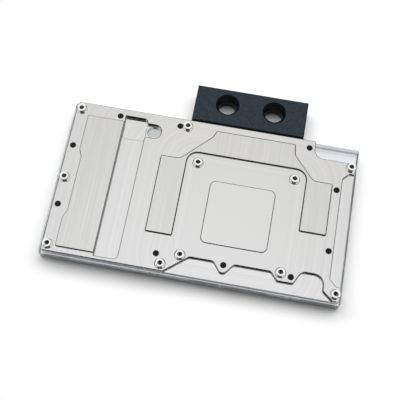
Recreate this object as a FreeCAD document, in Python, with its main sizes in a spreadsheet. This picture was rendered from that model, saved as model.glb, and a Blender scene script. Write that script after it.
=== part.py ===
import FreeCAD, Part
import math
import os
import re
import Sketcher

# Liquid cooling cold plate, in millimetres, lying on its clear cover with the card side up.
# X and Y in the cells run from the centre of the processor pad. X is the long way, and +Y is
# the side of the terminal block. Z runs up from the outer face of the clear cover.

SIZES = {
    # Clear cover: reach of its four edges from the processor pad's centre
    "cover_left": 110.8,
    "cover_right": 65.8,
    "cover_near": 41.0,
    "cover_far": 57.3,
    "cover_thick": 9.0,
    "cover_corner": 1.2,
    "cover_edge": 0.5,
    # Metal base: reach of its edges, and the notch in its far right corner
    "base_left": 108.3,
    "base_right": 63.9,
    "base_near": 40.5,
    "base_far": 56.4,
    "base_thick": 5.0,
    "base_corner": 1.0,
    "edge_break": 0.3,
    "notch_x": 38.8,
    "notch_y": 45.7,
    "notch_round": 5.5,
    "notch_outer_round": 3.0,
    # Processor pad
    "die_size": 39.0,
    "die_round": 3.5,
    "die_rise": 0.4,
    # Memory pad: a horseshoe around the processor
    "memory_rise": 1.1,
    "memory_outer": 51.8,
    "memory_inner": 36.0,
    "memory_inner_far": 35.7,
    "memory_inner_round": 6.6,
    "memory_shoulder": 30.1,
    "memory_far": 51.7,
    "memory_left_end": 18.7,
    "memory_right_end": 2.7,
    "memory_left_neck": 23.2,
    "memory_right_neck": 27.5,
    "memory_left_neck_y": 47.5,
    "memory_right_neck_y": 44.7,
    "memory_neck_lean": 1.6,
    "memory_foot": 40.4,
    "memory_bend": 5.0,
    "pad_corner": 0.8,
    "pad_break": 0.25,
    # Regulator pad, on the left
    "regulator_rise": 1.1,
    "regulator_left": 100.6,
    "regulator_right": 78.0,
    "regulator_near": 37.0,
    "regulator_far": 48.0,
    "regulator_waist": 98.7,
    "waist_far": 24.8,
    "waist_near": 18.8,
    "waist_slope": 4.2,
    # Long relief beside the regulator pad, for tall parts of the card
    "relief_depth": 2.0,
    "relief_right": 64.1,
    "relief_near": 38.4,
    "relief_far": 52.1,
    "relief_round": 3.2,
    "relief_far_round": 2.2,
    "relief_step_y": 37.9,
    "relief_step": 0.5,
    "window_x": 59.2,
    "window_y": 44.8,
    "window_radius": 3.9,
    "window_ledge": 0.6,
    "window_corner": 0.4,
    # Stepped relief along the near edge
    "bay_depth": 2.0,
    "bay_y": 29.4,
    "bay_left": 37.2,
    "bay_left_top": 23.6,
    "bay_bend": 3.0,
    "tab_reach": 4.7,
    "tab_side": 6.0,
    "tab_round": 2.4,
    "boss_y": 34.3,
    "boss_left": 27.8,
    "boss_right": 37.2,
    "bay_dome_y": 26.4,
    "bay_dome_left": 41.0,
    "bay_dome_right": 54.2,
    "bay_dome_round": 6.0,
    "bay_dome_bend": 4.5,
    "bay_right": 60.4,
    "bay_right_top": 35.4,
    # Open relief along the right edge
    "side_relief_depth": 1.5,
    "side_relief_x": 57.4,
    "side_relief_far": 38.8,
    "side_relief_near": 31.6,
    "side_relief_slope": 4.0,
    # Standoffs: the square around the processor, and the columns and rows of the others
    "processor_pitch": 58.4,
    "standoff_left": 105.4,
    "standoff_middle": 39.4,
    "standoff_right": 61.6,
    "standoff_far": 51.8,
    "standoff_near": 36.3,
    "standoff_centre_y": 5.9,
    "standoff_right_far": 42.8,
    "standoff_radius": 2.5,
    "standoff_height": 2.6,
    "standoff_thread_radius": 1.25,
    "standoff_thread_depth": 4.4,
    "standoff_bevel": 0.35,
    "stub_radius": 1.95,
    "stub_length": 2.6,
    "seat_radius": 3.05,
    "seat_depth": 0.4,
    "seat_break": 0.15,
    # Cover screws: their rows and columns
    "screw_far": 51.3,
    "screw_near": 30.7,
    "screw_side_far": 27.0,
    "screw_side_near": 11.4,
    "screw_left": 105.2,
    "screw_right": 54.6,
    "screw_far_left": 81.2,
    "screw_far_middle": 44.1,
    "screw_far_right": 35.3,
    "screw_near_left": 42.8,
    "screw_near_right": 35.3,
    # Socket head screws
    "thread_radius": 1.5,
    "thread_break": 0.25,
    "cover_screw_length": 10.0,
    "terminal_screw_length": 30.0,
    "head_radius": 2.75,
    "head_height": 3.0,
    "head_bevel": 0.35,
    "socket_width": 2.5,
    "socket_depth": 1.6,
    "tip_bevel": 0.3,
    "thread_fit": 0.05,
    "shank_clearance": 0.2,
    "head_clearance": 0.35,
    "head_sink": 1.0,
    # Coolant side of the base
    "jet_width": 38.0,
    "jet_length": 42.6,
    "jet_thick": 0.8,
    "jet_round": 1.5,
    "jet_slot_width": 2.0,
    "jet_slot_length": 30.0,
    "jet_clearance": 0.15,
    "fin_pitch": 1.0,
    "fin_gap": 0.5,
    "fin_gaps": 33,
    "fin_length": 33.6,
    "fin_depth": 2.2,
    "trench_y": 18.5,
    "trench_width": 4.0,
    "trench_length": 56.0,
    "trench_round": 1.5,
    "groove_first_x": 95.5,
    "groove_pitch": 2.4,
    "groove_width": 1.4,
    "groove_count": 6,
    "groove_depth": 1.8,
    "groove_near": 20.0,
    "groove_far": 38.0,
    # Coolant channels in the cover
    "channel_depth": 5.0,
    "channel_round": 2.5,
    "channel_far": 41.4,
    "inlet_half_width": 5.75,
    "plenum_left": 15.0,
    "plenum_half": 4.0,
    "return_left": 97.0,
    "return_near": 22.5,
    "return_lane": 11.0,
    "return_regulator": 82.0,
    "return_riser_left": 31.0,
    "return_riser_right": 21.0,
    "return_riser_far": 21.0,
    "return_far_lane": 25.0,
    "return_end": 12.4,
    "return_dip_y": 34.2,
    "return_dip_left": 74.4,
    "return_dip_right": 44.0,
    "pool_left": 22.5,
    "pool_right": 46.5,
    "pool_far": 36.8,
    # Main gasket: centre line, section and groove
    "gasket_left": 100.4,
    "gasket_right": 50.0,
    "gasket_near": 26.4,
    "gasket_far": 45.4,
    "gasket_right_far": 40.8,
    "gasket_step_x": 30.0,
    "gasket_dip_y": 38.2,
    "gasket_dip_left": 70.4,
    "gasket_dip_right": 48.0,
    "gasket_round": 5.0,
    "gasket_bend": 2.2,
    "gasket_width": 2.2,
    "gasket_height": 1.6,
    "gasket_edge": 0.5,
    "gasket_clearance": 0.1,
    # Terminal block
    "terminal_x": 3.65,
    "terminal_width": 69.0,
    "terminal_depth": 24.0,
    "terminal_thick": 14.0,
    "terminal_edge": 0.4,
    "port_pitch": 29.0,
    "port_y": 13.5,
    "port_radius": 5.9,
    "port_bevel": 1.3,
    "passage_width": 11.0,
    "passage_height": 3.4,
    "passage_round": 1.5,
    "passage_z": 4.1,
    "passage_depth": 19.0,
    "terminal_screw_margin": 4.3,
    "terminal_screw_inner": 4.0,
    "terminal_screw_z": 4.1,
    # Terminal seals
    "seal_land": 0.45,
    "seal_width": 1.2,
    "seal_height": 1.0,
    "seal_edge": 0.3,
    "seal_clearance": 0.08,
}

doc = FreeCAD.newDocument("cold_plate")
sheet = doc.addObject("Spreadsheet::Sheet", "Sizes")
for row, (name, size) in enumerate(SIZES.items(), 1):
    sheet.set(f"A{row}", name)
    sheet.set(f"B{row}", str(size))
    sheet.setAlias(f"B{row}", name)
doc.recompute()


def bound(text):
    """Turn plain cell names into the names that an expression needs."""
    return re.sub(r"[a-z][a-z_]+", r"Sizes.\g<0>", text)


def number(text):
    """The value of an expression of cell names."""
    return float(sheet.evalExpression(bound(text)))


# Places that several pieces share, measured from the processor pad's centre
DIE_X = "(cover_left - cover_right) / 2"
DIE_Y = "(cover_near - cover_far - terminal_depth) / 2"
CARD_FACE = "cover_thick + base_thick"
PAD_TOP = "base_thick + memory_rise"
HEAD_SEAT = "head_height + head_sink"
PORTS = {
    "left": "-terminal_x - port_pitch / 2",
    "right": "-terminal_x + port_pitch / 2",
}
STANDOFFS = [
    ("-processor_pitch / 2", "processor_pitch / 2"),
    ("processor_pitch / 2", "processor_pitch / 2"),
    ("-processor_pitch / 2", "-processor_pitch / 2"),
    ("processor_pitch / 2", "-processor_pitch / 2"),
    ("-standoff_left", "standoff_far"),
    ("-standoff_middle", "standoff_far"),
    ("-standoff_left", "standoff_centre_y"),
    ("-standoff_left", "-standoff_near"),
    ("-standoff_middle", "-standoff_near"),
    ("standoff_right", "standoff_right_far"),
    ("standoff_right", "-standoff_near"),
]
COVER_SCREWS = [
    ("-screw_far_left", "screw_far"),
    ("-screw_far_middle", "screw_far"),
    ("screw_far_right", "screw_far"),
    ("-screw_left", "screw_side_far"),
    ("-screw_left", "-screw_side_near"),
    ("screw_right", "screw_side_far"),
    ("screw_right", "-screw_side_near"),
    ("-screw_near_left", "-screw_near"),
    ("-terminal_x", "-screw_near"),
    ("screw_near_right", "-screw_near"),
]
TERMINAL_SCREWS = [
    "-terminal_x - terminal_width / 2 + terminal_screw_margin",
    "-terminal_x - terminal_screw_inner",
    "-terminal_x + terminal_screw_inner",
    "-terminal_x + terminal_width / 2 - terminal_screw_margin",
]


# Sketch helpers

def new_body(label, x=DIE_X, y=DIE_Y, z="0"):
    """A body placed by cell values."""
    body = doc.addObject("PartDesign::Body", label)
    body.Label = label
    for axis, text in zip("xyz", (x, y, z)):
        body.setExpression(f"Placement.Base.{axis}", bound(text))
    return body


def new_sketch(body, name, plane="XY_Plane", offset="0", origin="0"):
    """A sketch on one of the body's own planes, moved along its normal and its X axis."""
    sketch = body.newObject("Sketcher::SketchObject", name)
    for feature in body.Origin.OriginFeatures:
        if feature.Role == plane:
            sketch.AttachmentSupport = [(feature, "")]
    sketch.MapMode = "FlatFace"
    sketch.setExpression("AttachmentOffset.Base.z", bound(offset))
    sketch.setExpression("AttachmentOffset.Base.x", bound(origin))
    return sketch


def bind(sketch, kind, *args):
    """Add a sized constraint whose value follows the expression that comes last."""
    geometry, text = args[:-1], args[-1]
    index = sketch.addConstraint(Sketcher.Constraint(kind, *geometry, number(text)))
    if re.search("[a-z]", text):
        sketch.setExpression(f"Constraints[{index}]", bound(text))


def fix_point(sketch, geometry, point, x, y):
    """Hold a point of the sketch at the place that two expressions give."""
    bind(sketch, "DistanceX", -1, 1, geometry, point, x)
    bind(sketch, "DistanceY", -1, 1, geometry, point, y)


def circle(sketch, x, y, radius):
    """A circle placed and sized by expressions."""
    centre = FreeCAD.Vector(number(x), number(y), 0)
    index = sketch.addGeometry(Part.Circle(centre, FreeCAD.Vector(0, 0, 1), number(radius)), False)
    fix_point(sketch, index, 3, x, y)
    bind(sketch, "Radius", index, radius)


def rounded_corner(before, corner, after, radius):
    """Touch points, arc and turning side of one rounded corner."""
    back = (before - corner).normalize()
    ahead = (after - corner).normalize()
    half = back.getAngle(ahead) / 2
    reach = radius / math.tan(half)
    centre = corner + (back + ahead).normalize() * (radius / math.sin(half))
    first, last = corner + back * reach, corner + ahead * reach
    left_turn = back.cross(ahead).z < 0
    start, end = (first, last) if left_turn else (last, first)
    angles = [math.atan2(point.y - centre.y, point.x - centre.x) for point in (start, end)]
    if angles[1] < angles[0]:
        angles[1] += 2 * math.pi
    arc = Part.ArcOfCircle(Part.Circle(centre, FreeCAD.Vector(0, 0, 1), radius), *angles)
    return first, last, arc, (1, 2) if left_turn else (2, 1)


def outline(sketch, corners):
    """A closed outline through corners given as x, y and an optional rounding radius."""
    count = len(corners)
    places = [FreeCAD.Vector(number(corner[0]), number(corner[1]), 0) for corner in corners]
    rounds = {}
    for i, corner in enumerate(corners):
        if len(corner) == 3:
            rounds[i] = rounded_corner(
                places[i - 1], places[i], places[(i + 1) % count], number(corner[2]))
    lines = []
    for i in range(count):
        follow = (i + 1) % count
        start = rounds[i][1] if i in rounds else places[i]
        end = rounds[follow][0] if follow in rounds else places[follow]
        lines.append(sketch.addGeometry(Part.LineSegment(start, end), False))
    for i, corner in enumerate(corners):
        arriving, leaving = lines[i - 1], lines[i]
        if i in rounds:
            arc = sketch.addGeometry(rounds[i][2], False)
            entry, exit_end = rounds[i][3]
            sketch.addConstraint(Sketcher.Constraint("Tangent", arriving, 2, arc, entry))
            sketch.addConstraint(Sketcher.Constraint("Tangent", leaving, 1, arc, exit_end))
            bind(sketch, "Radius", arc, corner[2])
            mark = sketch.addGeometry(Part.Point(places[i]), True)
            sketch.addConstraint(Sketcher.Constraint("PointOnObject", mark, 1, arriving))
            sketch.addConstraint(Sketcher.Constraint("PointOnObject", mark, 1, leaving))
            fix_point(sketch, mark, 1, corner[0], corner[1])
        else:
            sketch.addConstraint(Sketcher.Constraint("Coincident", arriving, 2, leaving, 1))
            fix_point(sketch, leaving, 1, corner[0], corner[1])


def rectangle(left, right, near, far, radius=None):
    """Corners of a rectangle, with one rounding radius for all four."""
    corners = [(left, near), (right, near), (right, far), (left, far)]
    return [corner + ((radius,) if radius else ()) for corner in corners]


# Feature helpers

def add_pad(body, sketch, name, length):
    pad = body.newObject("PartDesign::Pad", name)
    pad.Profile = sketch
    pad.setExpression("Length", bound(length))
    return pad


def add_pocket(body, sketch, name, length, upward=False):
    """A pocket that runs against its sketch's normal, or along it when upward is set."""
    pocket = body.newObject("PartDesign::Pocket", name)
    pocket.Profile = sketch
    pocket.Reversed = upward
    pocket.setExpression("Length", bound(length))
    return pocket


def add_pattern(body, feature, name, direction, pitch, count):
    """A row of copies of one feature along an axis of its sketch."""
    pattern = body.newObject("PartDesign::LinearPattern", name)
    pattern.Originals = [feature]
    pattern.Direction = (feature.Profile[0], [direction])
    pattern.setExpression("Length", bound(f"({pitch}) * ({count} - 1)"))
    pattern.setExpression("Occurrences", bound(count))
    body.Tip = pattern
    return pattern


def bevel(body, name, base, edges, size):
    """A chamfer of the edges of the base that pass a test."""
    doc.recompute()
    names = [f"Edge{i}" for i, edge in enumerate(base.Shape.Edges, 1) if edges(edge)]
    feature = body.newObject("PartDesign::Chamfer", name)
    feature.Base = (base, names)
    feature.setExpression("Size", bound(size))
    body.Tip = feature


def level(edge, height):
    """Whether an edge lies flat at one height."""
    box = edge.BoundBox
    return abs(box.ZMin - height) < 1e-4 and abs(box.ZMax - height) < 1e-4


def drops_away(edge, shape, height):
    """Whether a level edge is where a wall drops from the face at that height."""
    if not level(edge, height):
        return False
    boxes = [face.BoundBox for face in shape.ancestorsOfType(edge, Part.Face)]
    flat = any(box.ZLength < 1e-4 for box in boxes)
    wall = any(box.ZLength > 1e-4 and abs(box.ZMax - height) < 1e-4 for box in boxes)
    return flat and wall


def on_rim(edge, height, box):
    """Whether a level edge belongs to the outside rim of a solid with this box."""
    if not level(edge, height):
        return False
    middle = edge.BoundBox.Center
    reach = min(middle.x - box.XMin, box.XMax - middle.x, middle.y - box.YMin, box.YMax - middle.y)
    return reach < number("cover_corner")


# Metal base: card side

def base_outline():
    return [
        ("-base_left", "-base_near", "base_corner"),
        ("base_right", "-base_near", "base_corner"),
        ("base_right", "notch_y", "notch_outer_round"),
        ("notch_x", "notch_y", "notch_round"),
        ("notch_x", "base_far", "base_corner"),
        ("-base_left", "base_far", "base_corner"),
    ]


def memory_outline():
    return [
        ("-memory_outer", "-memory_left_end", "pad_corner"),
        ("-memory_inner", "-memory_left_end", "pad_corner"),
        ("-memory_inner", "memory_inner_far", "memory_inner_round"),
        ("memory_inner", "memory_inner_far", "memory_inner_round"),
        ("memory_inner", "-memory_right_end", "pad_corner"),
        ("memory_outer", "-memory_right_end", "pad_corner"),
        ("memory_outer", "memory_shoulder", "pad_corner"),
        ("memory_foot", "memory_shoulder", "memory_bend"),
        ("memory_right_neck", "memory_right_neck_y", "memory_bend"),
        ("memory_right_neck - memory_neck_lean / 2", "memory_far", "pad_corner"),
        ("-memory_left_neck + memory_neck_lean", "memory_far", "pad_corner"),
        ("-memory_left_neck", "memory_left_neck_y", "memory_bend"),
        ("-memory_foot", "memory_shoulder", "memory_bend"),
        ("-memory_outer", "memory_shoulder", "pad_corner"),
    ]


def regulator_outline():
    return [
        ("-regulator_left", "-regulator_near", "pad_corner"),
        ("-regulator_right", "-regulator_near"),
        ("-regulator_right", "regulator_far"),
        ("-regulator_left", "regulator_far", "pad_corner"),
        ("-regulator_left", "waist_far", "pad_corner"),
        ("-regulator_waist", "waist_far - waist_slope", "pad_corner"),
        ("-regulator_waist", "waist_slope - waist_near", "pad_corner"),
        ("-regulator_left", "-waist_near", "pad_corner"),
    ]


def relief_outline():
    """The long relief with the round bay that holds the window."""
    pocket_radius = "(window_radius + window_ledge)"
    pocket_round = "window_radius + window_ledge / 2"
    return [
        ("-regulator_right", "-relief_near"),
        ("-relief_right", "-relief_near", "relief_round"),
        ("-relief_right", f"window_y - {pocket_radius}", "pad_corner"),
        (f"-window_x + {pocket_radius}", f"window_y - {pocket_radius}", pocket_round),
        (f"-window_x + {pocket_radius}", f"window_y + {pocket_radius}", pocket_round),
        ("-relief_right", f"window_y + {pocket_radius}", "window_corner"),
        ("-relief_right", "relief_far", "relief_far_round"),
        ("-regulator_right", "relief_far"),
    ]


def bay_outline():
    """The stepped relief that runs out through the near edge."""
    edge = "-base_near - base_corner"
    tab = "-terminal_x"
    return [
        ("-bay_left", edge),
        ("bay_right", edge),
        ("bay_right", "-base_near", "pad_corner"),
        ("bay_dome_right", "-bay_right_top", "pad_corner"),
        ("bay_dome_right", "-bay_dome_y", "bay_dome_round"),
        ("bay_dome_left", "-bay_dome_y", "bay_dome_bend"),
        ("boss_right", "-boss_y", "bay_bend / 2"),
        ("boss_left", "-boss_y", "tab_round"),
        ("bay_left_top", "-bay_y", "bay_bend"),
        (f"{tab} + tab_side", "-bay_y", "bay_bend"),
        (f"{tab} + tab_side / 4", "-screw_near - tab_reach", "tab_round"),
        (f"{tab} - tab_side / 4", "-screw_near - tab_reach", "tab_round"),
        (f"{tab} - tab_side", "-bay_y", "bay_bend"),
        ("-bay_left_top", "-bay_y", "bay_bend"),
        ("-bay_left", "-base_near", "pad_corner"),
    ]


def side_relief_outline():
    """The relief that runs out through the right edge between two standoffs."""
    edge = "base_right + base_corner"
    return [
        ("side_relief_x", "side_relief_slope - side_relief_near", "pad_corner"),
        ("side_relief_x + side_relief_slope", "-side_relief_near", "pad_corner"),
        (edge, "-side_relief_near"),
        (edge, "side_relief_far"),
        ("side_relief_x + side_relief_slope", "side_relief_far", "bay_bend"),
        ("side_relief_x", "side_relief_far - side_relief_slope", "bay_bend"),
    ]


def sink(body, name, corners, depth):
    """A relief of one depth below the card face."""
    sketch = new_sketch(body, f"{name}_sketch", offset="base_thick")
    outline(sketch, corners)
    return add_pocket(body, sketch, name, depth)


def build_base():
    body = new_body("base_plate", z="cover_thick")
    sketch = new_sketch(body, "base_sketch")
    outline(sketch, base_outline())
    add_pad(body, sketch, "base_block", "base_thick")

    die_half = "die_size / 2"
    raised = {
        "die_pad": (rectangle(f"-{die_half}", die_half, f"-{die_half}", die_half, "die_round"),
                    "die_rise"),
        "memory_pad": (memory_outline(), "memory_rise"),
        "regulator_pad": (regulator_outline(), "regulator_rise"),
    }
    for name, (corners, rise) in raised.items():
        sketch = new_sketch(body, f"{name}_sketch", offset="base_thick")
        outline(sketch, corners)
        pad = add_pad(body, sketch, name, rise)
        top = number("base_thick") + number(rise)
        bevel(body, f"{name}_edges", pad, lambda edge: level(edge, top), "pad_break")

    sink(body, "near_bay", bay_outline(), "bay_depth")
    relief = sink(body, "side_relief", side_relief_outline(), "side_relief_depth")
    doc.recompute()
    face = number("base_thick")
    bevel(body, "face_edges", relief, lambda edge: drops_away(edge, relief.Shape, face),
          "edge_break")
    relief = sink(body, "long_relief", relief_outline(), "relief_depth")
    doc.recompute()
    left, right = -number("regulator_right"), -number("standoff_middle")

    def on_relief(edge):
        """Whether an edge is on the long relief's rim, but not beside the regulator pad."""
        box = edge.BoundBox
        inside = box.XMin > left - 0.1 and left + 0.1 < box.XMax < right
        return inside and drops_away(edge, relief.Shape, face)

    bevel(body, "relief_edges", relief, on_relief, "edge_break")
    end = rectangle("-regulator_right", "-relief_right", "relief_step_y", "relief_far",
                    "relief_far_round")
    sink(body, "relief_end", end, "relief_depth + relief_step")

    sketch = new_sketch(body, "window_sketch", offset="base_thick")
    circle(sketch, "-window_x", "window_y", "window_radius")
    add_pocket(body, sketch, "window", "base_thick")

    build_base_holes(body)
    build_coolant_side(body)
    return body


def build_base_holes(body):
    """Seats and blind holes for the standoffs, and threaded holes for the cover screws."""
    holes = {
        "screw_holes": (COVER_SCREWS, "thread_radius + thread_fit", "base_thick"),
        "seats": (STANDOFFS, "seat_radius", "seat_depth"),
        "stub_holes": (STANDOFFS, "stub_radius + thread_fit",
                       "seat_depth + stub_length + shank_clearance"),
    }
    breaks = {"screw_holes": "thread_break", "seats": "seat_break"}
    face = number("base_thick")
    for name, (places, radius, depth) in holes.items():
        sketch = new_sketch(body, f"{name}_sketch", offset=PAD_TOP)
        for x, y in places:
            circle(sketch, x, y, radius)
        hole = add_pocket(body, sketch, name, f"{depth} + memory_rise")
        if name in breaks:
            bevel(body, f"{name}_edges", hole,
                  lambda edge: edge.Closed and level(edge, face)
                  and abs(edge.Curve.Radius - number(radius)) < 1e-4, breaks[name])


# Metal base: coolant side, cut upward from the face against the cover

def build_coolant_side(body):
    wide = "(jet_width / 2 + jet_clearance)"
    long = "(jet_length / 2 + jet_clearance)"
    sketch = new_sketch(body, "jet_seat_sketch")
    outline(sketch, rectangle(f"-{wide}", wide, f"-{long}", long, "jet_round"))
    add_pocket(body, sketch, "jet_seat", "jet_thick", upward=True)

    end = "trench_length / 2"
    for name, side in (("near_trench", "-"), ("far_trench", "")):
        middle = f"{side}trench_y"
        sketch = new_sketch(body, f"{name}_sketch")
        outline(sketch, rectangle(f"-{end}", end, f"{middle} - trench_width / 2",
                                  f"{middle} + trench_width / 2", "trench_round"))
        add_pocket(body, sketch, name, "jet_thick + fin_depth", upward=True)

    first = "-fin_pitch * (fin_gaps - 1) / 2"
    sketch = new_sketch(body, "fin_gap_sketch")
    outline(sketch, rectangle(f"{first} - fin_gap / 2", f"{first} + fin_gap / 2",
                              "-fin_length / 2", "fin_length / 2"))
    gap = add_pocket(body, sketch, "fin_gap", "jet_thick + fin_depth", upward=True)
    doc.recompute()
    add_pattern(body, gap, "fins", "H_Axis", "fin_pitch", "fin_gaps")

    sketch = new_sketch(body, "groove_sketch")
    outline(sketch, rectangle("-groove_first_x - groove_width / 2",
                              "-groove_first_x + groove_width / 2",
                              "-groove_near", "groove_far"))
    groove = add_pocket(body, sketch, "regulator_groove", "groove_depth", upward=True)
    doc.recompute()
    add_pattern(body, groove, "regulator_grooves", "H_Axis", "groove_pitch", "groove_count")


# Clear cover

def inlet_outline():
    left = f"{PORTS['right']} - inlet_half_width"
    right = f"{PORTS['right']} + inlet_half_width"
    return [
        ("-plenum_left", "-plenum_half", "channel_round"),
        (right, "-plenum_half", "channel_round"),
        (right, "channel_far", "channel_round"),
        (left, "channel_far", "channel_round"),
        (left, "plenum_half", "channel_round"),
        ("-plenum_left", "plenum_half", "channel_round"),
    ]


def return_outline():
    """From both ends of the fins, over the regulators and back to the left port."""
    corners = [
        ("-return_left", "-return_near"),
        ("-return_riser_right", "-return_near"),
        ("-return_riser_right", "return_riser_far"),
        ("-return_riser_left", "return_riser_far"),
        ("-return_riser_left", "-return_lane"),
        ("-return_regulator", "-return_lane"),
        ("-return_regulator", "return_far_lane"),
        ("-return_end", "return_far_lane"),
        ("-return_end", "channel_far"),
        ("-return_dip_right", "channel_far"),
        ("-return_dip_right", "return_dip_y"),
        ("-return_dip_left", "return_dip_y"),
        ("-return_dip_left", "channel_far"),
        ("-return_left", "channel_far"),
    ]
    return [corner + ("channel_round",) for corner in corners]


def gasket_outline(offset):
    """The gasket's centre line moved outward by an expression, or inward with a minus sign."""
    corners = [
        ("-gasket_left", "-gasket_near", -1, -1, "gasket_round", 1),
        ("gasket_right", "-gasket_near", 1, -1, "gasket_round", 1),
        ("gasket_right", "gasket_right_far", 1, 1, "gasket_round", 1),
        ("gasket_step_x", "gasket_right_far", 1, 1, "gasket_bend", -1),
        ("gasket_step_x", "gasket_far", 1, 1, "gasket_bend", 1),
        ("-gasket_dip_right", "gasket_far", -1, 1, "gasket_bend", 1),
        ("-gasket_dip_right", "gasket_dip_y", -1, 1, "gasket_bend", -1),
        ("-gasket_dip_left", "gasket_dip_y", 1, 1, "gasket_bend", -1),
        ("-gasket_dip_left", "gasket_far", 1, 1, "gasket_bend", 1),
        ("-gasket_left", "gasket_far", -1, 1, "gasket_round", 1),
    ]
    return [
        (f"{x} + {out_x} * ({offset})", f"{y} + {out_y} * ({offset})", f"{r} + {turn} * ({offset})")
        for x, y, out_x, out_y, r, turn in corners
    ]


def ring(sketch, outlines, half, extra="0"):
    """Two nested outlines, half a width each way from one centre line."""
    outline(sketch, outlines(f"{half} + {extra}"))
    outline(sketch, outlines(f"-({half} + {extra})"))


def build_cover():
    body = new_body("clear_cover")
    sketch = new_sketch(body, "cover_sketch")
    outline(sketch, rectangle("-cover_left", "cover_right", "-cover_near", "cover_far",
                              "cover_corner"))
    block = add_pad(body, sketch, "cover_block", "cover_thick")
    doc.recompute()
    box = block.Shape.BoundBox
    bevel(body, "cover_edges", block, lambda edge: on_rim(edge, 0, box), "cover_edge")

    channels = {
        "inlet_channel": inlet_outline(),
        "return_channel": return_outline(),
        "right_pool": rectangle("pool_left", "pool_right", "-return_near", "pool_far",
                                "channel_round"),
    }
    for name, corners in channels.items():
        sketch = new_sketch(body, f"{name}_sketch", offset="cover_thick")
        outline(sketch, corners)
        add_pocket(body, sketch, name, "channel_depth")

    sketch = new_sketch(body, "gasket_groove_sketch", offset="cover_thick")
    ring(sketch, gasket_outline, "gasket_width / 2", "gasket_clearance")
    add_pocket(body, sketch, "gasket_groove", "gasket_height")

    sketch = new_sketch(body, "shank_sketch")
    for x, y in COVER_SCREWS:
        circle(sketch, x, y, "thread_radius + shank_clearance")
    add_pocket(body, sketch, "shank_holes", "cover_thick", upward=True)
    sketch = new_sketch(body, "head_sketch")
    for x, y in COVER_SCREWS:
        circle(sketch, x, y, "head_radius + head_clearance")
    add_pocket(body, sketch, "head_holes", HEAD_SEAT, upward=True)

    # Passages and threaded holes run in from the far edge, along -Y
    sketch = new_sketch(body, "passage_sketch", "XZ_Plane", "-cover_far")
    for x in PORTS.values():
        outline(sketch, passage_outline(x, "0"))
    add_pocket(body, sketch, "passages", "passage_depth", upward=True)
    sketch = new_sketch(body, "terminal_thread_sketch", "XZ_Plane", "-cover_far")
    for x in TERMINAL_SCREWS:
        circle(sketch, x, "terminal_screw_z", "thread_radius + thread_fit")
    reach = f"terminal_screw_length - terminal_depth + {HEAD_SEAT} + shank_clearance * 2"
    add_pocket(body, sketch, "terminal_threads", reach, upward=True)
    return body


def passage_outline(x, offset):
    """The rounded mouth between terminal and cover, grown by an offset."""
    wide = f"(passage_width / 2 + {offset})"
    high = f"(passage_height / 2 + {offset})"
    return rectangle(f"{x} - {wide}", f"{x} + {wide}", f"passage_z - {high}",
                     f"passage_z + {high}", f"passage_round + {offset}")


# Main gasket, squeezed flat in its groove

def build_gasket():
    body = new_body("main_gasket", z="cover_thick - gasket_height")
    sketch = new_sketch(body, "gasket_sketch")
    ring(sketch, gasket_outline, "gasket_width / 2")
    band = add_pad(body, sketch, "gasket_band", "gasket_height")
    faces = (0, number("gasket_height"))
    bevel(body, "gasket_edges", band, lambda edge: any(level(edge, face) for face in faces),
          "gasket_edge")
    return body


# Jet plate over the fins

def build_jet_plate():
    body = new_body("jet_plate", z="cover_thick")
    wide, long = "jet_width / 2", "jet_length / 2"
    sketch = new_sketch(body, "plate_sketch")
    outline(sketch, rectangle(f"-{wide}", wide, f"-{long}", long, "jet_round"))
    slot_wide, slot_long = "jet_slot_length / 2", "jet_slot_width / 2"
    outline(sketch, rectangle(f"-{slot_wide}", slot_wide, f"-{slot_long}", slot_long,
                              "jet_slot_width / 2.5"))
    add_pad(body, sketch, "plate", "jet_thick")
    return body


# Terminal block

def build_terminal():
    body = new_body("terminal_block")
    half = "terminal_width / 2"
    far = "cover_far + terminal_depth"
    sketch = new_sketch(body, "terminal_sketch")
    outline(sketch, rectangle(f"-terminal_x - {half}", f"-terminal_x + {half}", "cover_far", far))
    block = add_pad(body, sketch, "terminal_blank", "terminal_thick")
    faces = (0, number("terminal_thick"))
    bevel(body, "terminal_edges", block, lambda edge: any(level(edge, face) for face in faces),
          "terminal_edge")

    sketch = new_sketch(body, "port_sketch")
    for x in PORTS.values():
        circle(sketch, x, "cover_far + port_y", "port_radius")
    bores = add_pocket(body, sketch, "ports", "terminal_thick", upward=True)

    def port_rim(edge):
        flat = any(level(edge, face) for face in faces)
        return flat and isinstance(edge.Curve, Part.Circle)

    bevel(body, "port_bevels", bores, port_rim, "port_bevel")

    # Passages, seal grooves and screw holes run along Y through the near and far faces
    sketch = new_sketch(body, "mouth_sketch", "XZ_Plane", "-cover_far")
    for x in PORTS.values():
        outline(sketch, passage_outline(x, "0"))
    add_pocket(body, sketch, "mouths", "port_y")
    for side, x in PORTS.items():
        sketch = new_sketch(body, f"{side}_seal_sketch", "XZ_Plane", "-cover_far")
        outline(sketch, passage_outline(x, "seal_land"))
        outline(sketch, passage_outline(x, "seal_land + seal_width + 2 * seal_clearance"))
        add_pocket(body, sketch, f"{side}_seal_groove", "seal_height")
    sketch = new_sketch(body, "bolt_sketch", "XZ_Plane", "-cover_far")
    for x in TERMINAL_SCREWS:
        circle(sketch, x, "terminal_screw_z", "thread_radius + shank_clearance")
    add_pocket(body, sketch, "bolt_holes", "terminal_depth")
    sketch = new_sketch(body, "bolt_head_sketch", "XZ_Plane", f"-({far})")
    for x in TERMINAL_SCREWS:
        circle(sketch, x, "terminal_screw_z", "head_radius + head_clearance")
    add_pocket(body, sketch, "bolt_head_holes", HEAD_SEAT, upward=True)
    return body


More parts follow.
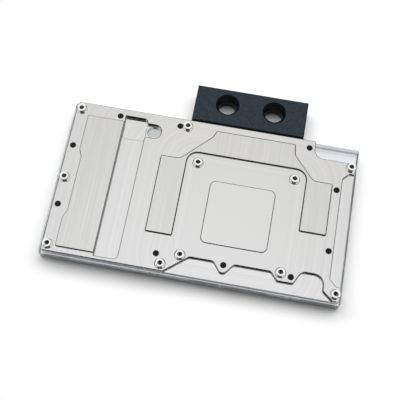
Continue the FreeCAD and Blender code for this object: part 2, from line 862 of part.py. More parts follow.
def build_seal(side, x):
    """A flat oval ring between the terminal's near face and the cover's far edge."""
    body = new_body(f"{side}_port_seal", y=f"{DIE_Y} + cover_far")
    sketch = new_sketch(body, f"{side}_ring_sketch", "XZ_Plane")
    outline(sketch, passage_outline(x, "seal_land + seal_clearance"))
    outline(sketch, passage_outline(x, "seal_land + seal_clearance + seal_width"))
    band = add_pad(body, sketch, f"{side}_ring", "seal_height")
    band.Reversed = True
    bevel(body, f"{side}_ring_edges", band, lambda edge: edge.BoundBox.YLength < 1e-4,
          "seal_edge")
    return body


# Socket head screws and standoffs, turned about Z

def turn(body, name, profile):
    """Revolve a closed profile of radius and height about the body's Z axis."""
    sketch = new_sketch(body, f"{name}_profile", "XZ_Plane")
    outline(sketch, profile)
    piece = body.newObject("PartDesign::Revolution", name)
    piece.Profile = sketch
    piece.ReferenceAxis = (sketch, ["V_Axis"])
    piece.Angle = 360
    return piece


def build_screw(label, x, y, z, length):
    """The underside of the head lies at z = 0 and the shank points up."""
    body = new_body(label, x, y, z)
    turn(body, "screw_blank", [
        ("0", "-head_height"),
        ("head_radius - head_bevel", "-head_height"),
        ("head_radius", "head_bevel - head_height"),
        ("head_radius", "0"),
        ("thread_radius", "0"),
        ("thread_radius", f"{length} - tip_bevel"),
        ("thread_radius - tip_bevel", length),
        ("0", length),
    ])
    sketch = new_sketch(body, "socket_sketch", offset="-head_height")
    flat = "socket_width / 2"
    corner = "socket_width / 2 * 1.1547"
    outline(sketch, [
        (corner, "0"), (f"{corner} / 2", flat), (f"-{corner} / 2", flat),
        (f"-{corner}", "0"), (f"-{corner} / 2", f"-{flat}"), (f"{corner} / 2", f"-{flat}"),
    ])
    add_pocket(body, sketch, "socket", "socket_depth", upward=True)
    return body


def build_standoff(label, x, y):
    """The shoulder lies at z = 0, on the floor of the seat in the base."""
    seat = f"{CARD_FACE} - seat_depth"
    body = new_body(label, f"{DIE_X} + ({x})", f"{DIE_Y} + ({y})", seat)
    top = "seat_depth + standoff_height"
    turn(body, "standoff_blank", [
        ("0", "-stub_length"),
        ("stub_radius", "-stub_length"),
        ("stub_radius", "0"),
        ("standoff_radius", "0"),
        ("standoff_radius", f"{top} - standoff_bevel"),
        ("standoff_radius - standoff_bevel", top),
        ("standoff_thread_radius + standoff_bevel", top),
        ("standoff_thread_radius", f"{top} - standoff_bevel"),
        ("standoff_thread_radius", f"{top} - standoff_thread_depth"),
        ("0", f"{top} - standoff_thread_depth"),
    ])
    return body


def build_all():
    pieces = [build_base(), build_cover(), build_gasket(), build_jet_plate(), build_terminal()]
    pieces += [build_seal(side, x) for side, x in PORTS.items()]
    for i, (x, y) in enumerate(COVER_SCREWS, 1):
        pieces.append(build_screw(f"cover_screw_{i}", f"{DIE_X} + ({x})", f"{DIE_Y} + ({y})",
                                  HEAD_SEAT, "cover_screw_length"))
    far_seat = f"{DIE_Y} + cover_far + terminal_depth - ({HEAD_SEAT})"
    for i, x in enumerate(TERMINAL_SCREWS, 1):
        screw = build_screw(f"terminal_screw_{i}", f"{DIE_X} + ({x})", far_seat,
                            "terminal_screw_z", "terminal_screw_length")
        screw.Placement.Rotation = FreeCAD.Rotation(FreeCAD.Vector(1, 0, 0), 90)
        pieces.append(screw)
    for i, (x, y) in enumerate(STANDOFFS, 1):
        pieces.append(build_standoff(f"standoff_{i}", x, y))
    return pieces


def check(pieces):
    """Stop at any failed object, and at any piece that isn't one valid solid."""
    for item in doc.Objects:
        if {"Invalid", "Error"} & set(item.State):
            raise RuntimeError(f"{item.Label} did not compute: {item.State}")
    for piece in pieces:
        shape = piece.Shape
        if shape.isNull() or not shape.isValid() or len(shape.Solids) != 1:
            raise RuntimeError(f"{piece.Label} is not one valid solid")


pieces = build_all()
doc.recompute()
check(pieces)
os.makedirs("parts", exist_ok=True)
for piece in pieces:
    piece.Shape.exportStep(f"parts/{piece.Label}.step")
    print(f"{piece.Label}: {piece.Shape.Volume:.1f} mm3")
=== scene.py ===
import math
import bpy
from mathutils import Matrix, Vector


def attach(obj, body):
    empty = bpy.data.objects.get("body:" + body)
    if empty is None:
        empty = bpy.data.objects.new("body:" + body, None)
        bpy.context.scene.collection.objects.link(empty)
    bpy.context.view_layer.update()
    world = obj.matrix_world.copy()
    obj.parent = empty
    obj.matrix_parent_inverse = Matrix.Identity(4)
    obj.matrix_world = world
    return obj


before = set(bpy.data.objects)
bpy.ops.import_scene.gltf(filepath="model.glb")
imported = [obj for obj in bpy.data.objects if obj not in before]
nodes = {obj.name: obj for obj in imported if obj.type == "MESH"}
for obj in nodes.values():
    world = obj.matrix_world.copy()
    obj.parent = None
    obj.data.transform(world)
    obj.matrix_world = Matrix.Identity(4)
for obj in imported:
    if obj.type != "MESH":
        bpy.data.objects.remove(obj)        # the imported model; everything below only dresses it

scene = bpy.context.scene
mm = 0.001


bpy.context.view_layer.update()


# camera, placed by the four posts round the processor pad in the photograph
cameraSetup = {
    "place": (24.005, -186.537, 466.913),    # mm, in the part's own axes
    "right": (0.98392904, 0.17809299, 0.01290435),
    "up": (-0.17079636, 0.9176101, 0.35891545),
    "back": (0.05207916, -0.35535135, 0.93328087),
    "lens": 74.32,             # mm
    "sensor": 36.0,            # mm
    "clip": (0.02, 20.0),      # m
}


def makeCamera(setup):
    camera = bpy.data.cameras.new("photoCamera")
    camera.lens = setup["lens"]
    camera.sensor_width = setup["sensor"]
    camera.clip_start, camera.clip_end = setup["clip"]
    holder = bpy.data.objects.new("photoCamera", camera)
    turn = Matrix((setup["right"], setup["up"], setup["back"])).transposed()
    place = Vector(setup["place"]) * mm
    holder.matrix_world = Matrix.Translation(place) @ turn.to_4x4()
    scene.collection.objects.link(holder)
    scene.camera = holder


makeCamera(cameraSetup)
print("camera placed")


def toLinear(hexColour):    # sRGB hex, as a colour picker shows it, to what a socket takes
    parts = [int(hexColour[i:i + 2], 16) / 255 for i in (1, 3, 5)]
    return tuple(c / 12.92 if c < 0.04045 else ((c + 0.055) / 1.055) ** 2.4 for c in parts) + (1.0,)


def addNode(tree, kind, settings=None, links=None):    # settings by attribute or by socket
    node = tree.nodes.new(kind)
    for name, value in (settings or {}).items():
        if isinstance(name, str) and hasattr(node, name):
            setattr(node, name, value)
        else:
            node.inputs[name].default_value = value
    for name, source in (links or {}).items():
        socket = source if isinstance(source, bpy.types.NodeSocket) else source.outputs[0]
        tree.links.new(socket, node.inputs[name])
    return node


def addTerms(tree, kind, settings, terms):    # each term is a plain value, a node or a socket
    links = {}
    for place, term in enumerate(terms):
        if isinstance(term, (bpy.types.Node, bpy.types.NodeSocket)):
            links[place] = term
        else:
            settings[place] = term
    return addNode(tree, kind, settings, links)


def maths(tree, operation, *terms, clamp=False):
    settings = {"operation": operation, "use_clamp": clamp}
    return addTerms(tree, "ShaderNodeMath", settings, terms).outputs[0]


def vectorMaths(tree, operation, *terms):
    return addTerms(tree, "ShaderNodeVectorMath", {"operation": operation}, terms).outputs[0]


def scaled(tree, source, factor):    # a vector or a colour, times a number from a socket
    return addNode(tree, "ShaderNodeVectorMath", {"operation": "SCALE"},
                   {0: source, "Scale": factor}).outputs[0]


def ranged(tree, source, fromSpan=(0.0, 1.0), toSpan=(0.0, 1.0)):    # held inside the span
    return addNode(tree, "ShaderNodeMapRange",
                   {"From Min": fromSpan[0], "From Max": fromSpan[1],
                    "To Min": toSpan[0], "To Max": toSpan[1]}, {"Value": source}).outputs[0]


def mixed(tree, share, first, second):    # colours, each in hex or from a socket
    settings = {"data_type": "RGBA"}
    links = {0: share}
    for place, colour in ((6, first), (7, second)):
        if isinstance(colour, str):
            settings[place] = toLinear(colour)
        else:
            links[place] = colour
    return addNode(tree, "ShaderNodeMix", settings, links).outputs[2]


def noise(tree, place, scale=1.0, detail=2.0):
    return addNode(tree, "ShaderNodeTexNoise", {"Scale": scale, "Detail": detail},
                   {0: place}).outputs[0]


def speckled(tree, hexColour, source, fromSpan, toSpan):    # a colour, lighter and darker by noise
    body = addNode(tree, "ShaderNodeCombineXYZ", dict(enumerate(toLinear(hexColour)[:3])))
    return scaled(tree, body, ranged(tree, source, fromSpan, toSpan))


def alongAxes(tree, source):    # its X, Y and Z, each a socket
    return addNode(tree, "ShaderNodeSeparateXYZ", None, {0: source}).outputs


def bumped(tree, height, strength, depth):    # depth in mm
    return addNode(tree, "ShaderNodeBump", {"Strength": strength, "Distance": depth * mm},
                   {"Height": height})


def softEdges(tree, radius):    # the normal as it would be if each edge had this radius in mm
    return addNode(tree, "ShaderNodeBevel", {"samples": 6, "Radius": radius * mm})


def flatLength(tree, offset):    # as seen from above
    flat = vectorMaths(tree, "MULTIPLY", offset, (1, 1, 0))
    return addNode(tree, "ShaderNodeVectorMath", {"operation": "LENGTH"},
                   {0: flat}).outputs["Value"]


def pastBox(tree, place, middle, half):    # how far past a box's sides, along each axis
    offset = vectorMaths(tree, "SUBTRACT", place, middle)
    folded = vectorMaths(tree, "ABSOLUTE", offset)
    return vectorMaths(tree, "SUBTRACT", folded, half)


def placeInMillimetres(tree):    # the part's own axes, so a pattern's scale is a real size
    where = addNode(tree, "ShaderNodeTexCoord")
    return addNode(tree, "ShaderNodeVectorMath", {"operation": "SCALE", "Scale": 1 / mm},
                   {0: where.outputs["Object"]}).outputs[0]


def newMaterial(name):
    material = bpy.data.materials.new(name)
    material.use_nodes = True
    tree = material.node_tree
    tree.nodes.clear()
    return material, tree


def addSurface(tree, shader):
    addNode(tree, "ShaderNodeOutputMaterial", None, {"Surface": shader})


noiseSpan = (0.3, 0.7)         # where most of what a noise texture gives lies


# studio: pale floor, white surround, one soft key from behind and above, dark cards for the edges
studio = {
    "floorColour": "#f4f4f4",
    "floorSize": 6.0,          # m
    "floorDrop": 0.1,          # mm under the part, so that no faces share a plane
    "floorGlow": 0.04,         # lifts the unshaded floor to white, leaves the shadow
    "floorFades": (0.115, 0.17),    # m from the middle, where the paper turns to plain white
    "floorInGlass": 0.79,      # the even level at which the clear cover shows it
    "glassEvens": 0.8,         # and the share of that level in what the cover shows
    "plainSky": "#ffffff",
    "nearSky": "#fefeff",      # what metal mirrors from overhead, a little cool
    "farSky": "#efeeeb",       # and from behind, a little warm
    "farFrom": (0.22, 0.48),   # how far a direction leans back where the one turns to the other
    "acrossSky": ((-0.42, 1.0), (-0.3, 0.9), (-0.12, 0.99), (0.0, 1.0), (0.12, 0.94),
                  (0.24, 0.94), (0.36, 1.0)),    # direction to the right, and its level
    "fill": 0.2,               # what the surround gives to matt surfaces
    "keyPower": 18.0,          # W
    "keySize": (2.7, 0.75),    # m, a bank that is wide from left to right
    "keyPlace": (-0.04, 0.35, 0.93),    # m
    "cardColour": "#1c1d1f",
    "ringRadius": 0.5,         # m
    "ringFoot": 0.002,
    "ringHeight": 0.1,
    "ringFrom": 210,           # degrees, the ring's arc round the near side
    "ringTo": 330,
    "ringSteps": 40,
    "lensCard": (0.44, 0.1),   # m, half its width and height, behind the lens
    "lensCardAway": 0.62,
}


def makeFloor(setup):
    half = setup["floorSize"] / 2
    z = -setup["floorDrop"] * mm
    mesh = bpy.data.meshes.new("floor")
    mesh.from_pydata([(-half, -half, z), (half, -half, z), (half, half, z), (-half, half, z)],
                     [], [(0, 1, 2, 3)])
    floor = bpy.data.objects.new("floor", mesh)
    scene.collection.objects.link(floor)

    material, tree = newMaterial("matt paper sweep")
    matt = addNode(tree, "ShaderNodeBsdfDiffuse", {"Color": toLinear(setup["floorColour"])})
    ray = addNode(tree, "ShaderNodeLightPath").outputs
    seen = maths(tree, "ADD", ray["Is Camera Ray"], ray["Is Glossy Ray"], clamp=True)
    lift = maths(tree, "MULTIPLY", seen, setup["floorGlow"])
    glow = addNode(tree, "ShaderNodeEmission", None, {"Strength": lift})
    paper = addNode(tree, "ShaderNodeAddShader", None, {0: matt, 1: glow})

    # away from the part the paper is plain white, and the clear cover shows it more evenly
    spot = addNode(tree, "ShaderNodeNewGeometry").outputs["Position"]
    distance = addNode(tree, "ShaderNodeVectorMath", {"operation": "LENGTH"}, {0: spot})
    away = ranged(tree, distance.outputs["Value"], setup["floorFades"])
    inGlass = ray["Is Transmission Ray"]
    seen = maths(tree, "ADD", seen, inGlass, clamp=True)
    plain = maths(tree, "MULTIPLY", away, seen)
    evened = maths(tree, "MULTIPLY", inGlass, setup["glassEvens"])
    plain = maths(tree, "MAXIMUM", plain, evened)
    level = ranged(tree, inGlass, toSpan=(1.0, setup["floorInGlass"]))
    white = addNode(tree, "ShaderNodeEmission", None, {"Strength": level})
    addSurface(tree, addNode(tree, "ShaderNodeMixShader", None, {0: plain, 1: paper, 2: white}))
    mesh.materials.append(material)


def makeSurround(setup):
    world = bpy.data.worlds.new("white surround")
    world.use_nodes = True
    scene.world = world
    tree = world.node_tree
    tree.nodes.clear()

    # white where it is seen, mirrored or looked at through the cover, and a faint fill elsewhere
    ray = addNode(tree, "ShaderNodeLightPath").outputs
    seen = maths(tree, "ADD", ray["Is Camera Ray"], ray["Is Glossy Ray"])
    seen = maths(tree, "ADD", seen, ray["Is Transmission Ray"], clamp=True)
    direct = maths(tree, "LESS_THAN", ray["Diffuse Depth"], 0.5)
    seen = maths(tree, "MULTIPLY", seen, direct)    # light through the cover is fill too
    level = ranged(tree, seen, toSpan=(setup["fill"], 1.0))

    # what metal mirrors, by the direction it comes from
    way = addNode(tree, "ShaderNodeTexCoord")
    aim = alongAxes(tree, way.outputs["Generated"])
    behind = ranged(tree, aim["Y"], setup["farFrom"])
    mirrored = mixed(tree, behind, setup["nearSky"], setup["farSky"])
    aside = ranged(tree, aim["X"], (-1.0, 1.0))
    across = addNode(tree, "ShaderNodeValToRGB", None, {0: aside})
    stops = across.color_ramp.elements
    while len(stops) < len(setup["acrossSky"]):
        stops.new(0.5)
    for stop, (x, bright) in zip(stops, setup["acrossSky"]):
        stop.position = (x + 1) / 2
        stop.color = (bright, bright, bright, 1.0)
    mirrored = vectorMaths(tree, "MULTIPLY", mirrored, across)
    colour = mixed(tree, ray["Is Glossy Ray"], setup["plainSky"], mirrored)
    sky = addNode(tree, "ShaderNodeBackground", None, {"Color": colour, "Strength": level})
    addNode(tree, "ShaderNodeOutputWorld", None, {"Surface": sky})


def makeKey(setup):
    lamp = bpy.data.lights.new("softKey", "AREA")
    lamp.shape = "ELLIPSE"
    lamp.size, lamp.size_y = setup["keySize"]
    lamp.energy = setup["keyPower"]
    holder = bpy.data.objects.new("softKey", lamp)
    holder.location = setup["keyPlace"]
    holder.rotation_euler = (-Vector(setup["keyPlace"])).to_track_quat("-Z", "Y").to_euler()
    holder.visible_glossy = False    # the surround alone is mirrored, so no hot spot slides over
    scene.collection.objects.link(holder)


def makeCards(setup):    # only mirrored: they draw the thin dark edges that a studio gives metal
    material, tree = newMaterial("black card")
    addSurface(tree, addNode(tree, "ShaderNodeBsdfDiffuse",
                             {"Color": toLinear(setup["cardColour"])}))
    points = []
    faces = []
    arc = setup["ringTo"] - setup["ringFrom"]
    for i in range(setup["ringSteps"] + 1):
        angle = math.radians(setup["ringFrom"] + arc * i / setup["ringSteps"])
        x = setup["ringRadius"] * math.cos(angle)
        y = setup["ringRadius"] * math.sin(angle)
        points += [(x, y, setup["ringFoot"]), (x, y, setup["ringHeight"])]
        if i:
            k = 2 * i
            faces.append((k - 2, k, k + 1, k - 1))
    lens = Vector(cameraSetup["back"])
    across = Vector((1, 0, 0))
    along = lens.cross(across).normalized()
    centre = lens * setup["lensCardAway"]
    wide, high = setup["lensCard"]
    k = len(points)
    for a, b in ((-1, -1), (1, -1), (1, 1), (-1, 1)):
        points.append(tuple(centre + across * a * wide + along * b * high))
    faces.append((k, k + 1, k + 2, k + 3))
    mesh = bpy.data.meshes.new("edgeCards")
    mesh.from_pydata(points, [], faces)
    mesh.materials.append(material)
    cards = bpy.data.objects.new("edgeCards", mesh)
    cards.visible_camera = False
    cards.visible_diffuse = False
    cards.visible_shadow = False
    cards.visible_transmission = False
    scene.collection.objects.link(cards)


scene.view_settings.view_transform = "Standard"
makeFloor(studio)
makeSurround(studio)
makeKey(studio)
makeCards(studio)
print("studio lit")


# base: nickel-plated copper, end-milled; the plating keeps every cutter mark and mirrors softly
nickelCopper = {
    "face": "#e6e6e6",
    "pad": "#e1e1e0",
    "die": "#e7e7e7",
    "pocket": "#e9e9ea",
    "padsFrom": 14.6,          # mm, heights over the floor that tell the levels apart
    "dieFrom": 14.2,
    "pocketsBelow": 13.6,
    "padPitch": 0.55,          # mm; the cutter's step over was finer, this is what shows
    "padPass": 60.0,           # mm, the length over which a pass fades into the next
    "pathPitch": 2.2,          # mm, on the other faces
    "processor": (22.5, -20.15, 0.0),    # mm, the middle of the rectangle that passes run round
    "window": (29.0, 28.7, 0.0),    # mm, half its size
    "markLevels": (0.94, 1.04),    # how dark and how light the marks make a face
    "bump": (0.08, 0.05),      # strength, and depth in mm
    "roughness": 0.12,
    "wall": "#e2e2e2",         # of pads and pockets
    "straightWallShade": "#5e5f61",    # painted shade on the walls that run along X or Y
    "straightFrom": (0.93, 0.985),    # how far a normal lies along X or Y there
    "outerWallShade": "#b4b5b7",    # painted shade on the walls round the outline
    "passHeight": 0.75,        # mm, the steps in which the walls were cut
    "passShare": 0.12,         # how strongly they show beside the scallops
    "scallop": 1.5,            # mm
    "cutLevels": (0.6, 1.1),   # how dark and how light both make a wall
    "middle": (0.3, -12.2, 0.0),    # mm, of the outline, which is square but for one notch
    "halfSize": (85.5, 47.8, 0.0),
    "notch": (60.7, 25.0, 0.0),
    # painted shade: the base's edges near black, as dark lines where they would mirror something
    # dark
    "edge": "#050506",
    "sideEdge": "#c4c6c9",     # broken by hand, so it mirrors the surround
    "sideFrom": 85.0,          # mm to either side
    "edgeRadius": 0.45,        # mm, how far the deburred edge bends the mirror image
    "levelSpan": (0.93, 0.997),    # how upward a normal is between an edge and a flat face
    "uprightSpan": (0.1, 0.3),     # and between a wall and an edge
}


def millingMarks(tree, setup, place, raised):
    # straight passes along the pads
    pitch, passLength = setup["padPitch"], setup["padPass"]
    stretch = addNode(tree, "ShaderNodeMapping",
                      {"Scale": (1 / pitch, 1 / passLength, 1 / passLength)}, {0: place})
    passes = noise(tree, stretch)

    # elsewhere passes that run round the processor, by their distance from a rectangle there
    past = pastBox(tree, place, setup["processor"], setup["window"])
    distance = flatLength(tree, vectorMaths(tree, "MAXIMUM", past, (0, 0, 0)))
    turns = maths(tree, "MULTIPLY", distance, 1 / setup["pathPitch"])
    loops = noise(tree, addNode(tree, "ShaderNodeCombineXYZ", None, {0: turns}))
    return addNode(tree, "ShaderNodeMix", {"data_type": "FLOAT"},
                   {0: raised, 2: loops, 3: passes}).outputs[0]


def flatFaces(tree, setup, height, raised, marks):    # the colour by level, with the marks in it
    onDie = maths(tree, "GREATER_THAN", height, setup["dieFrom"])
    sunk = maths(tree, "LESS_THAN", height, setup["pocketsBelow"])
    shade = mixed(tree, onDie, setup["face"], setup["die"])
    shade = mixed(tree, raised, shade, setup["pad"])
    shade = mixed(tree, sunk, shade, setup["pocket"])
    return scaled(tree, shade, ranged(tree, marks, noiseSpan, setup["markLevels"]))


def steepFaces(tree, setup, place, height, facing):    # cut by the tool's side: coarser marks, and the straight and outline walls get a painted shade
    step = maths(tree, "MULTIPLY", height, 2 * math.pi / setup["passHeight"])
    step = maths(tree, "SINE", step)
    scallops = noise(tree, place, 1 / setup["scallop"], detail=1.0)
    cut = maths(tree, "MULTIPLY_ADD", step, setup["passShare"], scallops)
    cut = ranged(tree, cut, noiseSpan, setup["cutLevels"])

    across = maths(tree, "ABSOLUTE", facing["X"])
    along = maths(tree, "ABSOLUTE", facing["Y"])
    straight = ranged(tree, maths(tree, "MAXIMUM", across, along), setup["straightFrom"])
    wall = mixed(tree, straight, setup["wall"], setup["straightWallShade"])

    past = alongAxes(tree, pastBox(tree, place, setup["middle"], setup["halfSize"]))
    pastSide = maths(tree, "MAXIMUM", past["X"], past["Y"])
    inNotch = alongAxes(tree, vectorMaths(tree, "SUBTRACT", place, setup["notch"]))
    inNotch = maths(tree, "MINIMUM", inNotch["X"], inNotch["Y"])
    outer = maths(tree, "MAXIMUM", pastSide, inNotch)
    outer = maths(tree, "GREATER_THAN", outer, 0.0)
    return scaled(tree, mixed(tree, outer, wall, setup["outerWallShade"]), cut)


def makeNickelCopper(setup):
    material, tree = newMaterial("nickel plated copper, end milled")
    place = placeInMillimetres(tree)
    axes = alongAxes(tree, place)
    raised = maths(tree, "GREATER_THAN", axes["Z"], setup["padsFrom"])
    marks = millingMarks(tree, setup, place, raised)
    flat = flatFaces(tree, setup, axes["Z"], raised, marks)

    rounded = softEdges(tree, setup["edgeRadius"])
    facing = alongAxes(tree, rounded)
    level = maths(tree, "ABSOLUTE", facing["Z"])
    steep = ranged(tree, level, setup["levelSpan"], (1.0, 0.0))
    upright = ranged(tree, level, setup["uprightSpan"], (1.0, 0.0))
    wall = steepFaces(tree, setup, place, axes["Z"], facing)

    # painted shade on the edges, near black, but light and unbent ones at the two sides
    aside = maths(tree, "ABSOLUTE", axes["X"])
    aside = maths(tree, "GREATER_THAN", aside, setup["sideFrom"])
    edge = mixed(tree, aside, setup["edge"], setup["sideEdge"])
    colour = mixed(tree, steep, flat, mixed(tree, upright, edge, wall))
    plain = addNode(tree, "ShaderNodeNewGeometry")
    bent = addNode(tree, "ShaderNodeMix", {"data_type": "VECTOR"},
                   {0: aside, 4: rounded, 5: plain.outputs["Normal"]})
    bump = bumped(tree, marks, *setup["bump"])
    tree.links.new(bent.outputs[1], bump.inputs["Normal"])
    addSurface(tree, addNode(tree, "ShaderNodeBsdfPrincipled",
                             {"Metallic": 1.0, "Roughness": setup["roughness"]},
                             {"Base Color": colour, "Normal": bump}))
    return material


# cover: cast acrylic with clear faces; its machined edge is satin, so it glows softly
castAcrylic = {
    "tint": "#f0f4f8",
    "ior": 1.49,
    "roughness": 0.02,
    "edgeRoughness": 0.2,
    "edgeMilk": 0.2,           # how much of the light the machined edge scatters
    "chamferMilk": 0.45,       # and the chamfers, which were never polished
    "streak": (9.0, 9.0, 0.9),    # mm, the cutter's passes along the edge
    "satinSpan": (0.35, 0.65),    # of the noise, over which clear turns to satin
    "milkLevels": (0.3, 1.7),
    "upright": (0.0, 0.3),     # how upward a normal is on the edge, and how far from that
    "slanted": (0.65, 0.3),    # and on the chamfers
    "bumpDepth": 0.03,         # mm
}


def makeCastAcrylic(setup):
    material, tree = newMaterial("cast acrylic, polished")
    place = placeInMillimetres(tree)
    passes = noise(tree, vectorMaths(tree, "DIVIDE", place, setup["streak"]))
    facing = addNode(tree, "ShaderNodeTexCoord")
    upward = alongAxes(tree, facing.outputs["Normal"])["Z"]
    upright = maths(tree, "COMPARE", upward, *setup["upright"])
    satin = ranged(tree, passes, setup["satinSpan"], (setup["roughness"], setup["edgeRoughness"]))
    roughness = addNode(tree, "ShaderNodeMix", {"data_type": "FLOAT", 2: setup["roughness"]},
                        {0: upright, 3: satin})

    # milk takes the place of some of the clearness, on the edge and on the chamfers
    milk = ranged(tree, passes, noiseSpan, setup["milkLevels"])
    milk = maths(tree, "MULTIPLY", milk, upright)
    clear = maths(tree, "MULTIPLY_ADD", milk, -setup["edgeMilk"], 1.0)
    slanted = maths(tree, "COMPARE", maths(tree, "ABSOLUTE", upward), *setup["slanted"])
    clear = maths(tree, "MULTIPLY_ADD", slanted, -setup["chamferMilk"], clear, clamp=True)
    bump = addNode(tree, "ShaderNodeBump", {"Distance": setup["bumpDepth"] * mm},
                   {"Height": passes, "Strength": upright})
    addSurface(tree, addNode(tree, "ShaderNodeBsdfPrincipled",
                             {"Base Color": toLinear(setup["tint"]), "IOR": setup["ior"]},
                             {"Roughness": roughness, "Transmission Weight": clear,
                              "Normal": bump}))
    return material


# terminal: black acetal, face-milled matt, a little blue as in the photo
blackAcetal = {
    "body": "#18232b",
    "edge": "#04060a",         # painted shade, near black, on the chamfers and in the bores
    "ior": 1.48,
    "roughness": 0.5,
    "boreRoughness": 0.14,
    "specular": 0.35,
    "edgeSpecular": 0.1,       # on the chamfers and in the bores
    "ports": ((4.35, 50.65, 0.0), (33.35, 50.65, 0.0)),    # mm, their axes
    "boreRadius": 6.0,
    "edgeRadius": 0.4,         # mm
    "chamfer": (0.6, 0.37),    # how upward its normal is, and how far from that
    "grain": 0.65,             # mm
    "grainLevels": (0.3, 1.7),
    "bump": (0.1, 0.05),       # strength, and depth in mm
}


def makeBlackAcetal(setup):
    material, tree = newMaterial("black acetal, face milled")
    place = placeInMillimetres(tree)
    grain = noise(tree, place, 1 / setup["grain"], detail=3.0)
    colour = speckled(tree, setup["body"], grain, noiseSpan, setup["grainLevels"])

    # chamfers by their lean, bores by their distance from the nearer port's axis; both get a
    # painted shade
    lean = maths(tree, "ABSOLUTE", alongAxes(tree, softEdges(tree, setup["edgeRadius"]))["Z"])
    chamfer = maths(tree, "COMPARE", lean, *setup["chamfer"])
    fromAxes = [flatLength(tree, vectorMaths(tree, "SUBTRACT", place, axis))
                for axis in setup["ports"]]
    bore = maths(tree, "LESS_THAN", maths(tree, "MINIMUM", *fromAxes), setup["boreRadius"])
    chamferAndBoreShade = maths(tree, "MAXIMUM", chamfer, bore)
    colour = mixed(tree, chamferAndBoreShade, colour, setup["edge"])
    roughness = ranged(tree, bore, toSpan=(setup["roughness"], setup["boreRoughness"]))
    specular = ranged(tree, chamferAndBoreShade, toSpan=(setup["specular"], setup["edgeSpecular"]))
    addSurface(tree, addNode(tree, "ShaderNodeBsdfPrincipled", {"IOR": setup["ior"]},
                             {"Base Color": colour, "Roughness": roughness,
                              "Specular IOR Level": specular,
                              "Normal": bumped(tree, grain, *setup["bump"])}))
    return material


# standoffs: free-cutting brass, turned and nickel plated, brighter than the milled base
nickelBrass = {
    "body": "#fbfbfa",
    "bore": "#a8a8a7",         # painted shade in the threaded bore
    "roughness": 0.1,
    "width": 5.0,              # mm, over the post
    "boreWidth": 2.55,         # M2.5, and a little of the turned face round it
    "turning": 0.25,           # mm, the tool's marks
    "bump": (0.05, 0.05),      # strength, and depth in mm
}


def makeNickelBrass(setup):
    material, tree = newMaterial("nickel plated brass, turned")
    marks = noise(tree, placeInMillimetres(tree), 1 / setup["turning"], detail=1.0)
    inBox = addNode(tree, "ShaderNodeTexCoord").outputs["Generated"]    # a post fills its own box
    radius = flatLength(tree, vectorMaths(tree, "SUBTRACT", inBox, (0.5, 0.5, 0.0)))
    inShadedBore = maths(tree, "LESS_THAN", radius, setup["boreWidth"] / 2 / setup["width"])
    addSurface(tree, addNode(tree, "ShaderNodeBsdfPrincipled",
                             {"Metallic": 1.0, "Roughness": setup["roughness"]},
                             {"Base Color": mixed(tree, inShadedBore, setup["body"], setup["bore"]),
                              "Normal": bumped(tree, marks, *setup["bump"])}))
    return material


# screws: alloy steel, hot black oxide, oiled
blackOxide = {
    "body": "#0e0f10",
    "roughness": 0.45,
    "specular": 0.2,
    "mottle": 1.5,             # blotches to the mm
    "mottleLevels": (0.7, 1.3),
}


def makeBlackOxide(setup):
    material, tree = newMaterial("steel, black oxide")
    mottle = noise(tree, placeInMillimetres(tree), setup["mottle"], detail=3.0)
    colour = speckled(tree, setup["body"], mottle, (0.0, 1.0), setup["mottleLevels"])
    addSurface(tree, addNode(tree, "ShaderNodeBsdfPrincipled",
                             {"Roughness": setup["roughness"],
                              "Specular IOR Level": setup["specular"]},
                             {"Base Color": colour}))
    return material


# seals: moulded nitrile rubber, dull
sealRubber = {
    "body": "#1d1d1e",
    "roughness": 0.6,
    "skin": 3.0,               # dimples to the mm
    "bump": (0.1, 0.05),       # strength, and depth in mm
}


def makeSealRubber(setup):
    material, tree = newMaterial("nitrile rubber, moulded")
    skin = noise(tree, placeInMillimetres(tree), setup["skin"])
    addSurface(tree, addNode(tree, "ShaderNodeBsdfPrincipled",
                             {"Base Color": toLinear(setup["body"]),
                              "Roughness": setup["roughness"]},
                             {"Normal": bumped(tree, skin, *setup["bump"])}))
    return material


# jet plate: rolled stainless sheet with its grain along X
stainlessSheet = {
    "body": "#c9c9c6",
    "roughness": 0.3,
    "grain": (20.0, 0.4, 1.0),    # mm, long in the rolling direction and fine across it
    "bump": (0.1, 0.02),       # strength, and depth in mm
}


def makeStainlessSheet(setup):
    material, tree = newMaterial("stainless sheet, rolled")
    stretch = addNode(tree, "ShaderNodeMapping",
                      {"Scale": tuple(1 / size for size in setup["grain"])},
                      {0: placeInMillimetres(tree)})
    grain = noise(tree, stretch)
    addSurface(tree, addNode(tree, "ShaderNodeBsdfPrincipled",
                             {"Base Color": toLinear(setup["body"]), "Metallic": 1.0,
                              "Roughness": setup["roughness"]},
                             {"Normal": bumped(tree, grain, *setup["bump"])}))
    return material


steel = makeBlackOxide(blackOxide)
rubber = makeSealRubber(sealRubber)
finishes = {
    "base_plate": makeNickelCopper(nickelCopper),
    "clear_cover": makeCastAcrylic(castAcrylic),
    "terminal_block": makeBlackAcetal(blackAcetal),
    "standoff": makeNickelBrass(nickelBrass),
    "cover_screw": steel,
    "terminal_screw": steel,
    "main_gasket": rubber,
    "left_port_seal": rubber,
    "right_port_seal": rubber,
    "jet_plate": makeStainlessSheet(stainlessSheet),
}

for name in sorted(nodes):
    kind = name if name in finishes else name.rsplit("_", 1)[0]    # cover_screw_3: cover_screw
    for slot in nodes[name].material_slots:
        slot.material = finishes[kind]
print("materials set on", len(nodes), "nodes")


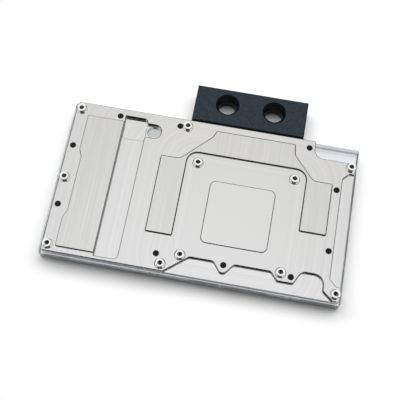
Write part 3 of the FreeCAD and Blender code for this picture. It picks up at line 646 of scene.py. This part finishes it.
# threads, which the solids leave as plain bores of the tap drill's size
portThread = {
    "pitch": 1.337,            # mm, G1/4
    "bore": 5.9,               # mm, radius
    "crest": 5.72,             # mm, radius to the top of the ridge
    "root": 1.15,              # mm, width of the ridge at the wall
    "tip": 0.3,                # mm, and at its top
    "top": 12.5,               # mm over the floor
    "bottom": 6.3,
    "sunk": 0.02,              # into the wall, so that no gap shows
    "runOut": 0.25,            # turns over which the ridge rises at either end
    "lastRise": 0.01,          # share of its height that is left at the lower end
    "steps": 56,               # per turn
    "sharpFrom": 30,           # degrees
}


def makeThread(name, axis, setup):    # a helical ridge that winds down inside a bore
    turns = (setup["top"] - setup["bottom"]) / setup["pitch"]
    count = round(turns * setup["steps"])
    wall = setup["bore"] + setup["sunk"]
    points = []
    faces = []
    for i in range(count + 1):
        turn = i / setup["steps"]
        starting = turn / setup["runOut"]
        ending = (turns - turn) / setup["runOut"] + setup["lastRise"]
        rise = min(1.0, starting, ending)
        crest = setup["bore"] - (setup["bore"] - setup["crest"]) * rise
        angle = 2 * math.pi * turn
        z = setup["top"] - setup["pitch"] * turn
        for radius, width in ((wall, setup["root"]), (crest, setup["tip"]),
                              (crest, -setup["tip"]), (wall, -setup["root"])):
            points.append(((axis[0] + radius * math.cos(angle)) * mm,
                           (axis[1] + radius * math.sin(angle)) * mm, (z + width / 2) * mm))
        if i:
            k = 4 * i
            faces += [(k + j, k + (j + 1) % 4, k - 4 + (j + 1) % 4, k - 4 + j) for j in range(4)]
    faces += [(0, 1, 2, 3), (4 * count + 3, 4 * count + 2, 4 * count + 1, 4 * count)]
    mesh = bpy.data.meshes.new(name)
    mesh.from_pydata(points, [], faces)
    mesh.validate()
    mesh.shade_smooth()
    mesh.set_sharp_from_angle(angle=math.radians(setup["sharpFrom"]))
    mesh.materials.append(finishes["terminal_block"])
    ridge = bpy.data.objects.new(name, mesh)
    scene.collection.objects.link(ridge)
    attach(ridge, "root")


for side, axis in zip(("left", "right"), blackAcetal["ports"]):
    makeThread(side + "PortThread", axis, portThread)
print("port threads cut")
